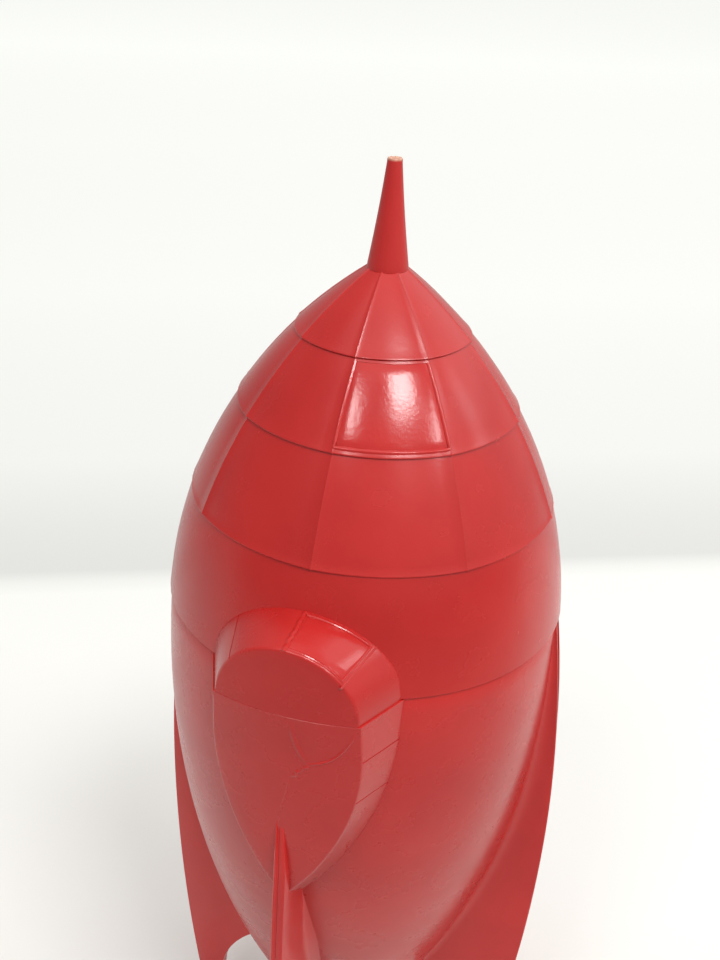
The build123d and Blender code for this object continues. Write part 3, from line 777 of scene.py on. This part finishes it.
joint_top, joint_foot = to_ray(True, 0.0)[-1], to_ray(False, 0.0)[-1]
joint = [joint_top.lerp(joint_foot, step / joint_steps) for step in range(-1, joint_steps + 2)]
joint_bead = ridge("joint_bead", joint, [off_bevel(spot) for spot in joint], half_width=0.20, height=0.09,
                   ragged=0.0, seed=4)
join_to(hood_shell, hood_flash, joint_bead)
settle(hood_shell, red_shell, "nose", "pod_hood", smooth=30)

# Hood window. A second glossy red pane, moulded apart and bonded into the pocket of the hood's
# right bevel, with the same kind of raised bead along its free sides.
hood_pane_recess = 0.04
pane_inset = frame_width + pane_gap
pane_rows = []
for share in (0.0, 0.25, 0.5, 0.75, 1.0):
    row = []
    for column in range(hood_columns // 2, hood_columns + 1):
        edge, rim = bevel_ends(column / hood_columns)
        row.append(toward(edge, rim, pane_inset).lerp(toward(rim, edge, pane_inset), share))
    pane_rows.append(row)
hood_pane = loft("hood_pane", pane_rows)
for normal, margin in pane_sides:
    bpy.ops.mesh.select_all(action="SELECT")
    bpy.ops.mesh.bisect(plane_co=(hood_middle + normal * (margin + pane_gap)) * mm, plane_no=normal,
                        clear_inner=True)
face_out(hood_pane)
apply_modifier(hood_pane, "DISPLACE", strength=-hood_pane_recess * mm, mid_level=0.0)
thicken_pane(hood_pane)
rim_side, face_side = to_ray(True, frame_width), to_ray(False, frame_width)
border = rim_side + [rim_side[-1].lerp(face_side[-1], step / joint_steps) for step in range(1, joint_steps)]
border += face_side[::-1]
pane_bead = ridge("pane_bead", border, [off_bevel(spot) for spot in border], half_width=0.26, height=0.13,
                  ragged=0.0, seed=5)
join_to(hood_pane, pane_bead)
settle(hood_pane, red_pane, "nose", "hood_window", smooth=35)

# Hull shell. The rocket's lower half, injection moulded in the same red: a hollow round body
# that narrows to a neck at the tail, with a socket in its mouth for the collar.
hull_top, hull_widest, hull_tail = 33.7, 12.0, 96.0  # radius at the seam, then two drops below it
hull_wall, tail_radius = 2.8, 12.05
neck_radius, neck_bore, neck_length, neck_top = 10.2, 8.0, 5.0, 90.0
socket_radius, socket_depth = 31.8, 8.0
hull_steps, hull_sides = 30, 128
hull_taper = hull_top - tail_radius
hull_run = (hull_tail**2 - 2 * hull_tail * hull_widest + hull_taper**2) / (2 * hull_taper)
hull_arc = sqrt(hull_run**2 + hull_widest**2)


def hull_radius(drop, depth=0.0):
    """Radius of the hull at a height below the seam, on a skin under the outside."""
    return hull_top - hull_run + sqrt((hull_arc - depth)**2 - (drop - hull_widest)**2)


hull_line = [(hull_radius(0) - 0.6, 0), (hull_radius(0.1) - 0.15, 0.12), (hull_radius(0.5), 0.5)]
hull_line += [(hull_radius(hull_tail * step / hull_steps), hull_tail * step / hull_steps)
              for step in range(1, hull_steps)]
hull_line += [(tail_radius, hull_tail - 0.2), (tail_radius - 0.2, hull_tail), (neck_radius, hull_tail),
              (neck_radius, hull_tail + neck_length), (neck_bore, hull_tail + neck_length),
              (neck_bore, neck_top)]
hull_line += [(hull_radius(drop, hull_wall), drop)
              for drop in (neck_top, 80, 70, 60, 50, 40, 30, 20, 12, socket_depth)]
hull_line += [(socket_radius, socket_depth), (socket_radius, 0.0), hull_line[0]]
hull_body = turned("hull_body", [(radius, seam_z - drop) for radius, drop in hull_line], hull_sides)
red_hull = moulded_plastic("red_hull", (0.40, 0.013, 0.012), (0.485, 0.019, 0.016), 0.27, 0.2)
settle(hull_body, red_hull, "hull", "hull_shell", smooth=28)

# Hull collar. A moulded ring of the same red, bonded into the socket in the hull's mouth, with
# a slot for the nose's key. It keeps its own shape, and shows only when the nose is off.
dress("hull_collar", red_hull)

# Pod fairing. The lower, shield-shaped half of the bay, moulded apart in red and pegged to the
# hull. Two joint lines cross each bevel. Its face leans in to the keel and carries the marks
# where two flows of plastic met.
fairing_half, fairing_shoulder = (15.1, 12.05), (7.5, 7.0)  # at the rim's level, and the edge's
fairing_keel, fairing_belly = (44.7, 38.8), (3.65, 2.85)
face_lean = 3.3 / fairing_keel[1]
straight = 0.2  # share of each side that is straight, above the bow
fairing_columns, fairing_joints = 60, (7.2, 15.7)
face_clear, mark_steps, mark_fade = 0.22, 22, 5
flow_marks = (  # ends and middle as offset and drop, then its crest
    ((1.6, 0.6), (2.1, 4.6), (4.3, 8.7), 0.55, 0.13, 0.05),
    ((3.8, 8.6), (8.3, 6.2), (11.0, 1.0), 0.28, 0.22, 0.05),
    ((4.6, 8.3), (3.0, 10.0), (1.1, 12.3), 0.45, 0.16, 0.20),
    ((1.4, 11.6), (0.6, 15.6), (-0.5, 20.9), 0.24, 0.07, 0.07))


def leaning_face(rise):
    """Radius of the fairing's face, which leans in below the seam."""
    return face_radius + face_lean * min(rise, 0)


def hull_skin(rise):
    """Radius of the hull that the fairing stands on."""
    return hull_radius(max(-rise, 0))


def fairing_bevel(share, level):
    """A place on the fairing's bevel: down the left side, round the keel, up the right side."""
    wide, shoulder = pod_size(level, *fairing_half), pod_size(level, *fairing_shoulder)
    keel, belly = pod_size(level, *fairing_keel), pod_size(level, *fairing_belly)
    side, half = (-1, share * 2) if share < 0.5 else (1, (1 - share) * 2)
    if half < straight:
        return Vector((side * wide, -level, seam_z - shoulder * half / straight))
    run, fall = wide, keel - shoulder
    chord = hypot(run, fall)
    radius = (chord**2 / 4 + belly**2) / (2 * belly)
    spread = asin(chord / 2 / radius)
    angle = spread * (2 * (half - straight) / (1 - straight) - 1)
    along, out = radius * sin(angle) + chord / 2, radius * cos(angle) - (radius - belly)
    spot_x = wide - run / chord * along + fall / chord * out
    spot_drop = shoulder + fall / chord * along + run / chord * out
    return Vector((side * spot_x, -level, seam_z - spot_drop))


def on_fairing_bevel(spot):
    """Whether a place is on the fairing's bevel, clear of its edge and rim."""
    rise, radius = spot.z - seam_z, hypot(spot.x, spot.y)
    return rise < -weld and hull_skin(rise) + touch < radius < leaning_face(rise) - face_clear


def face_arc(first, middle, last, steps):
    """Places along a bent line on the fairing's face, given as offsets and drops."""
    path = []
    for step in range(steps + 1):
        share = step / steps
        pull = 2 * share * (1 - share)
        offset, drop = (start * (1 - share)**2 + end * share**2 + pull * (2 * bend - (start + end) / 2)
                        for start, bend, end in zip(first, middle, last))
        radius = leaning_face(-drop)
        path.append(Vector((offset, -sqrt(radius**2 - offset**2), seam_z - drop)))
    return path


fairing_shell = pod_half("fairing_shell", pod_rows(fairing_bevel, hull_skin, leaning_face, fairing_columns))
for drop in fairing_joints:
    groove(fairing_shell, on_fairing_bevel, Vector((0, 0, seam_z - drop)), Vector((0, 0, 1)))
marks = []
for seed, (first, middle, last, half_width, height, ragged) in enumerate(flow_marks, 11):
    path = face_arc(first, middle, last, mark_steps)
    outward = [Vector((spot.x, spot.y, 0)).normalized() for spot in path]
    marks.append(ridge("flow_mark", path, outward, half_width, height, ragged, seed, mark_fade))
join_to(fairing_shell, *marks)
settle(fairing_shell, red_hull, "hull", "pod_fairing", smooth=30)

# Fins. Four blades moulded in red, bonded to the hull along a hollow-sided root. Each outer
# edge has a thin ridge, a shallow groove and a flat band, as its mould's halves left it. An
# arch parts each foot from the tail. The front one stands further out, through the fairing.
fin_reach, foot_reach, foot_width = 37.9, 29.6, 3.8
fin_bulge_drop, fin_top_proud = 46.0, 0.25
fin_root, fin_edge, fin_depth = 1.9, 1.1, 32.0  # half thicknesses, and how far apart they are
fin_bite, fin_tail, buried_half = 1.0, 92, 0.8  # inside the hull's wall, and where that ends
root_blend, blend_sunk, blend_steps = 3.6, 0.12, 6
blend_growth, least_blend = 3, 0.03
arch_radius, arch_offset, arch_middle = 20.2, 6.9, 14.4
front_top, front_fin_shift, front_blend_start = 14.0, 1.8, 43.3
front_slim, slim_depth = 0.3, 28  # the front blade's share of its thickness at its top
foot_round, foot_trim, blade_weld = 0.25, 0.2, 0.002
edge_flat = 0.5  # how far in the ridge, groove and band begin
edge_line = ((0.14, 0.08), (0.0, 0.26), (0.04, 0.46), (0.30, 0.66), (0.36, 0.86), (0.24, 1.06), (0.20, 1.26))
band_line = ((0.18, 0.45), (0.30, 0.10))
fin_drops = [0.4, 1.5] + [3 * step for step in range(1, 30)]
fin_drops += [88, 89, 89.6, 90, 91, 92, 93, 94, 95, 96, 98, 100, 103, 106, 109.6, 115, 120]


def arc_through(rise, run):
    """Radius of an arc that is level at one end and has gone in by one amount over another."""
    return (run**2 + rise**2) / (2 * rise)


upper_arc = arc_through(fin_reach - hull_top - fin_top_proud, fin_bulge_drop)
lower_arc = arc_through(fin_reach - foot_reach, seam_z - fin_bulge_drop)


def fin_outside(drop):
    """Reach of a blade's outer edge from the axis, at a height below the seam."""
    arc = upper_arc if drop < fin_bulge_drop else lower_arc
    return fin_reach - arc + sqrt(arc**2 - (drop - fin_bulge_drop)**2)


def fin_inside(drop, shift):
    """Inner boundary of a blade: inside the hull's wall, then the arch, then the leg."""
    height = seam_z - drop
    foot = foot_reach + shift - foot_width
    if height < arch_middle:
        return foot + (arch_offset + arch_radius - foot) * height / arch_middle
    arch = sqrt(max(arch_radius**2 - (height - arch_middle)**2, 0)) + arch_offset
    hull = hull_radius(min(drop, hull_tail)) - fin_bite
    return max(hull if drop < fin_tail else 0, arch if height < arch_middle + arch_radius else 0)


def fin_half(reach):
    """Half a blade's thickness at a distance from the axis, without its root's blend."""
    return fin_root + (fin_edge - fin_root) * (reach - arch_offset) / fin_depth


def fin_section(drop, shift, blend_start, trim=0.0, slim=1.0):
    """A closed section of a blade at a height below the seam, about +X, slimmed on one side."""
    reach, inner = fin_outside(drop) + shift - trim, fin_inside(drop, shift) + trim
    skin = hull_radius(min(drop, hull_tail))
    grown = (drop - blend_start) / (hull_tail - blend_start) * blend_growth + 0.1
    blend = root_blend * min(1, max(grown, least_blend))
    centre = (sqrt((skin + blend - blend_sunk)**2 - (fin_edge + blend)**2), fin_edge + blend)
    first = atan2(centre[1], centre[0]) + pi

    def half_at(x):
        """Half the blade's thickness at a distance from the axis, its root's blend included."""
        if x > centre[0] or centre[0] - x > blend:
            return fin_half(x)
        return max(fin_half(x), centre[1] - sqrt(blend**2 - (centre[0] - x)**2))

    side = [(inner, half_at(inner) if inner > skin else buried_half)]
    for step in range(blend_steps + 1):
        angle = first + (1.5 * pi - first) * step / blend_steps
        spot = centre[0] + blend * cos(angle)
        side.append((spot, centre[1] + blend * sin(angle)) if spot > inner else (inner, half_at(inner)))
    side = [(x, max(y, fin_half(x)) if x > inner else y) for x, y in side]
    half = fin_half(reach) - trim
    middle = (max(centre[0], inner) + reach) / 2
    side += [(middle, fin_half(middle) - trim), (reach - edge_flat, half)]
    ridge_edge = [(reach - back, -half + across) for back, across in edge_line]
    ridge_edge += [(reach - back, half - across) for back, across in band_line]
    around = [(x, -y) for x, y in side] + ridge_edge + [(x, y) for x, y in reversed(side)]
    return [Vector((x, (y + half) * slim - half, seam_z - drop)) for x, y in around + around[:1]]


def fin_blade(name, top, shift, blend_start):
    """Skins a blade through its sections, from its top to its foot."""
    drops = [top] + [drop for drop in fin_drops if drop > top + 0.1]
    slims = [min(1, front_slim + (drop - top) / slim_depth) if top else 1 for drop in drops]
    rows = [fin_section(drop, shift, blend_start, 0.0, slim) for drop, slim in zip(drops, slims)]
    rows.append(fin_section(seam_z - foot_round, shift, blend_start))
    rows.append(fin_section(seam_z, shift, blend_start, foot_trim))
    blade = loft(name, rows)
    bpy.ops.mesh.remove_doubles(threshold=blade_weld * mm)
    for level in (seam_z - top, 0.0):
        pick(blade, lambda spot: abs(spot.z - level) < weld)
        bpy.ops.mesh.edge_face_add()
    return blade


red_fin = moulded_plastic("red_fin", (0.43, 0.010, 0.009), (0.52, 0.015, 0.012), 0.30, 0.25)
right_blade = fin_blade("right_blade", 0.0, 0.0, 0.0)
blades = {"fin_right": right_blade}
for name, node_name, turn in (("rear_blade", "fin_rear", 90), ("left_blade", "fin_left", 180)):
    take(right_blade)
    bpy.ops.object.duplicate()
    copy = bpy.context.active_object
    copy.name = name
    copy.rotation_euler.z = radians(turn)
    blades[node_name] = copy
front_blade = fin_blade("front_blade", front_top, front_fin_shift, front_blend_start)
front_blade.rotation_euler.z = radians(front_turn)
blades["fin_front"] = front_blade
for node_name, blade in blades.items():
    settle(blade, red_fin, "hull", node_name, smooth=35)

# Tail nozzle. A small bell, moulded apart in red and bonded over the hull's neck. It widens to
# a rounded lip, and its bore opens out below the neck.
nozzle_sides = 96
nozzle_line = [(10.25, 96.0), (12.05, 96.0), (12.12, 98.5), (12.35, 101.0), (12.9, 103.4), (13.7, 105.4),
               (14.55, 106.75), (14.5, 106.95), (14.3, 107.0), (13.2, 107.0), (13.0, 106.8), (11.6, 103.9),
               (10.25, 101.0), (10.25, 96.0)]
nozzle_bell = turned("nozzle_bell", [(radius, seam_z - drop) for radius, drop in nozzle_line], nozzle_sides)
settle(nozzle_bell, red_hull, "hull", "tail_nozzle")

# Tail plug. A soft white stopper that closes the hull, moulded in one with its flange and the
# tab it's pulled by. It's only pushed into the neck, so it can be drawn out.
plug_sides = 64
tab_size, tab_drop, tab_edge = (7.0, 1.6, 3.6), 104.2, 0.5
plug_line = [(0, 92.0), (7.5, 92.0), (7.9, 92.4), (7.9, 101.0), (9.0, 101.0), (9.3, 101.3), (9.3, 102.5),
             (9.0, 102.8), (0, 102.8)]
plug_body = turned("plug_body", [(radius, seam_z - drop) for radius, drop in plug_line], plug_sides)
clear_selection()
bpy.ops.mesh.primitive_cube_add(size=mm, location=(0, 0, (seam_z - tab_drop) * mm), scale=tab_size)
plug_tab = bpy.context.active_object
bpy.ops.object.transform_apply(location=True, rotation=True, scale=True)
apply_modifier(plug_tab, "BEVEL", width=tab_edge * mm, segments=3)
join_to(plug_body, plug_tab)
white_plug, tree, shader, place = new_material("white_plug")
shader.inputs["Subsurface Weight"].default_value = 0.15
shader.inputs["Subsurface Radius"].default_value = (0.002, 0.0016, 0.0012)
shader.inputs["Roughness"].default_value = 0.42
cloud_colour(tree, shader, noise(tree, place, 220.0, 3.0), (0.74, 0.73, 0.70), (0.82, 0.81, 0.78))
settle(plug_body, white_plug, "plug", "tail_plug")
